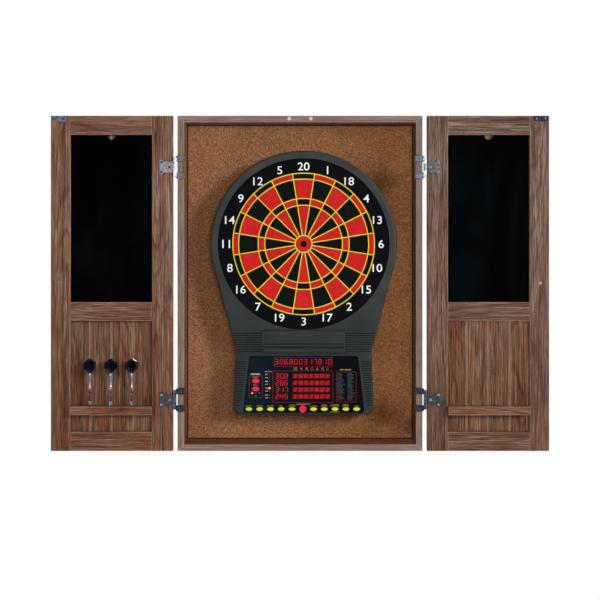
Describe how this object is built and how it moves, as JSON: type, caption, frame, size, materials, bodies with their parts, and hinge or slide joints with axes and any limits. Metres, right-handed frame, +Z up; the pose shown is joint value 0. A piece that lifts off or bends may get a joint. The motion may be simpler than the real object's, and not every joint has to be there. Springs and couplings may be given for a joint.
{
  "type": "dart board cabinet",
  "caption": "Two-door rustic wood wall cabinet with cork lining, blackboards and a dart shelf in its doors, holding an electronic soft-tip dart board.",
  "frame": {"origin": "centre of the cabinet's rear face, on the wall", "axes": "+X to the right seen from the front, +Y into the wall, +Z up"},
  "size_m": [1.3592, 0.143, 0.914],
  "materials": {
    "cabinet_wood": "distressed satin stain, open grain",
    "door_wood": "distressed satin stain, open grain",
    "backing_board": "plain fibreboard",
    "cork": "fine-grained cork sheet",
    "blackboard": "dead matte writing surface",
    "hinge_steel": "worn nickel plate",
    "screw_steel": "zinc plate",
    "magnet_steel": "polished cap",
    "pull_steel": "satin nickel",
    "casing_plastic": "fine moulded texture",
    "ring_plastic": "smooth matte",
    "web_plastic": "moulded",
    "red_plastic": "moulded, perforated",
    "black_plastic": "moulded, perforated",
    "console_gloss": "smoked glossy panel",
    "button_yellow": "soft gloss",
    "button_red": "soft gloss",
    "circuit_board": "solder mask",
    "speaker_black": "pressed basket and paper cone",
    "sensor_rubber": "moulded mat",
    "dart_metal": "ringed barrel with plastic tip, shaft and flight"
  },
  "bodies": {
    "cabinet": {"carcass_top": "cabinet_wood", "carcass_bottom": "cabinet_wood", "carcass_left_side": "cabinet_wood", "carcass_right_side": "cabinet_wood", "back_panel": "backing_board", "cork_lining": "cork", "catch_magnets": "magnet_steel", "hinge_frame_leaves": "hinge_steel", "hinge_pins": "hinge_steel", "cabinet_screws": "screw_steel", "rear_housing": "casing_plastic", "front_housing": "casing_plastic", "machine_screws": "screw_steel", "power_jack": "speaker_black", "spider": "web_plastic", "number_ring": "ring_plastic", "sensor_sheet": "sensor_rubber", "console_panel": "console_gloss", "display_electronics": "circuit_board", "speaker": "speaker_black"},
    "red_segments": {"red_segments": "red_plastic"},
    "black_segments": {"black_segments": "black_plastic"},
    "outer_bull": {"outer_bull": "red_plastic"},
    "inner_bull": {"inner_bull": "black_plastic"},
    "player_change_button": {"player_change_button": "button_red"},
    "setup_button_upper": {"setup_button_upper": "button_red"},
    "setup_button_lower": {"setup_button_lower": "button_red"},
    "game_button_01": {"game_button_01": "button_yellow"},
    "game_button_02": {"game_button_02": "button_yellow"},
    "game_button_03": {"game_button_03": "button_yellow"},
    "game_button_04": {"game_button_04": "button_yellow"},
    "game_button_05": {"game_button_05": "button_yellow"},
    "game_button_06": {"game_button_06": "button_yellow"},
    "game_button_07": {"game_button_07": "button_yellow"},
    "game_button_08": {"game_button_08": "button_yellow"},
    "game_button_09": {"game_button_09": "button_yellow"},
    "game_button_10": {"game_button_10": "button_yellow"},
    "left_door": {"left_door_stiles": "door_wood", "left_door_rails": "door_wood", "left_door_planks": "door_wood", "left_dart_shelf": "door_wood", "left_strike_plate": "hinge_steel", "left_hinge_leaves": "hinge_steel", "left_door_screws": "screw_steel", "left_pull_post": "pull_steel"},
    "left_blackboard": {"left_blackboard": "blackboard"},
    "left_pull_tab": {"left_pull_tab": "pull_steel"},
    "right_door": {"right_door_stiles": "door_wood", "right_door_rails": "door_wood", "right_door_planks": "door_wood", "right_dart_shelf": "door_wood", "right_strike_plate": "hinge_steel", "right_hinge_leaves": "hinge_steel", "right_door_screws": "screw_steel", "right_pull_post": "pull_steel"},
    "right_blackboard": {"right_blackboard": "blackboard"},
    "right_pull_tab": {"right_pull_tab": "pull_steel"},
    "dart_1": {"dart_1": "dart_metal"},
    "dart_2": {"dart_2": "dart_metal"},
    "dart_3": {"dart_3": "dart_metal"}
  },
  "joints": [
    {"name": "left_door_hinge", "type": "hinge", "parent": "cabinet", "child": "left_door", "pos_m": [-0.3405, -0.1195, 0], "axis": [0, 0, 1], "range_deg": [0, 180]},
    {"name": "left_blackboard_lift_out", "type": "slide", "parent": "left_door", "child": "left_blackboard", "axis": [0, -1, 0], "range_m": [0, 0.012]},
    {"name": "left_pull_swing", "type": "hinge", "parent": "left_door", "child": "left_pull_tab", "pos_m": [-0.6546, -0.084, 0], "axis": [1, 0, 0], "range_deg": [-12, 95]},
    {"name": "right_door_hinge", "type": "hinge", "parent": "cabinet", "child": "right_door", "pos_m": [0.3405, -0.1195, 0], "axis": [0, 0, -1], "range_deg": [0, 180]},
    {"name": "right_blackboard_lift_out", "type": "slide", "parent": "right_door", "child": "right_blackboard", "axis": [0, -1, 0], "range_m": [0, 0.012]},
    {"name": "right_pull_swing", "type": "hinge", "parent": "right_door", "child": "right_pull_tab", "pos_m": [0.6546, -0.084, 0], "axis": [1, 0, 0], "range_deg": [-12, 95]},
    {"name": "dart_1_lift_out", "type": "slide", "parent": "left_door", "child": "dart_1", "axis": [0, 0, 1], "range_m": [0, 0.045]},
    {"name": "dart_2_lift_out", "type": "slide", "parent": "left_door", "child": "dart_2", "axis": [0, 0, 1], "range_m": [0, 0.045]},
    {"name": "dart_3_lift_out", "type": "slide", "parent": "left_door", "child": "dart_3", "axis": [0, 0, 1], "range_m": [0, 0.045]},
    {"name": "game_button_01_press", "type": "slide", "parent": "cabinet", "child": "game_button_01", "axis": [0, 1, 0], "range_m": [0, 0.0015], "stiffness_N_per_m": 1300},
    {"name": "game_button_02_press", "type": "slide", "parent": "cabinet", "child": "game_button_02", "axis": [0, 1, 0], "range_m": [0, 0.0015], "stiffness_N_per_m": 1300},
    {"name": "game_button_03_press", "type": "slide", "parent": "cabinet", "child": "game_button_03", "axis": [0, 1, 0], "range_m": [0, 0.0015], "stiffness_N_per_m": 1300},
    {"name": "game_button_04_press", "type": "slide", "parent": "cabinet", "child": "game_button_04", "axis": [0, 1, 0], "range_m": [0, 0.0015], "stiffness_N_per_m": 1300},
    {"name": "game_button_05_press", "type": "slide", "parent": "cabinet", "child": "game_button_05", "axis": [0, 1, 0], "range_m": [0, 0.0015], "stiffness_N_per_m": 1300},
    {"name": "game_button_06_press", "type": "slide", "parent": "cabinet", "child": "game_button_06", "axis": [0, 1, 0], "range_m": [0, 0.0015], "stiffness_N_per_m": 1300},
    {"name": "game_button_07_press", "type": "slide", "parent": "cabinet", "child": "game_button_07", "axis": [0, 1, 0], "range_m": [0, 0.0015], "stiffness_N_per_m": 1300},
    {"name": "game_button_08_press", "type": "slide", "parent": "cabinet", "child": "game_button_08", "axis": [0, 1, 0], "range_m": [0, 0.0015], "stiffness_N_per_m": 1300},
    {"name": "game_button_09_press", "type": "slide", "parent": "cabinet", "child": "game_button_09", "axis": [0, 1, 0], "range_m": [0, 0.0015], "stiffness_N_per_m": 1300},
    {"name": "game_button_10_press", "type": "slide", "parent": "cabinet", "child": "game_button_10", "axis": [0, 1, 0], "range_m": [0, 0.0015], "stiffness_N_per_m": 1300},
    {"name": "player_change_button_press", "type": "slide", "parent": "cabinet", "child": "player_change_button", "axis": [0, 1, 0], "range_m": [0, 0.0015], "stiffness_N_per_m": 1300},
    {"name": "setup_button_upper_press", "type": "slide", "parent": "cabinet", "child": "setup_button_upper", "axis": [0, 1, 0], "range_m": [0, 0.0015], "stiffness_N_per_m": 1300},
    {"name": "setup_button_lower_press", "type": "slide", "parent": "cabinet", "child": "setup_button_lower", "axis": [0, 1, 0], "range_m": [0, 0.0015], "stiffness_N_per_m": 1300},
    {"name": "red_segments_press", "type": "slide", "parent": "cabinet", "child": "red_segments", "axis": [0, 1, 0], "range_m": [0, 0.001], "stiffness_N_per_m": 8000},
    {"name": "black_segments_press", "type": "slide", "parent": "cabinet", "child": "black_segments", "axis": [0, 1, 0], "range_m": [0, 0.001], "stiffness_N_per_m": 8000},
    {"name": "outer_bull_press", "type": "slide", "parent": "cabinet", "child": "outer_bull", "axis": [0, 1, 0], "range_m": [0, 0.001], "stiffness_N_per_m": 900},
    {"name": "inner_bull_press", "type": "slide", "parent": "cabinet", "child": "inner_bull", "axis": [0, 1, 0], "range_m": [0, 0.001], "stiffness_N_per_m": 600}
  ]
}
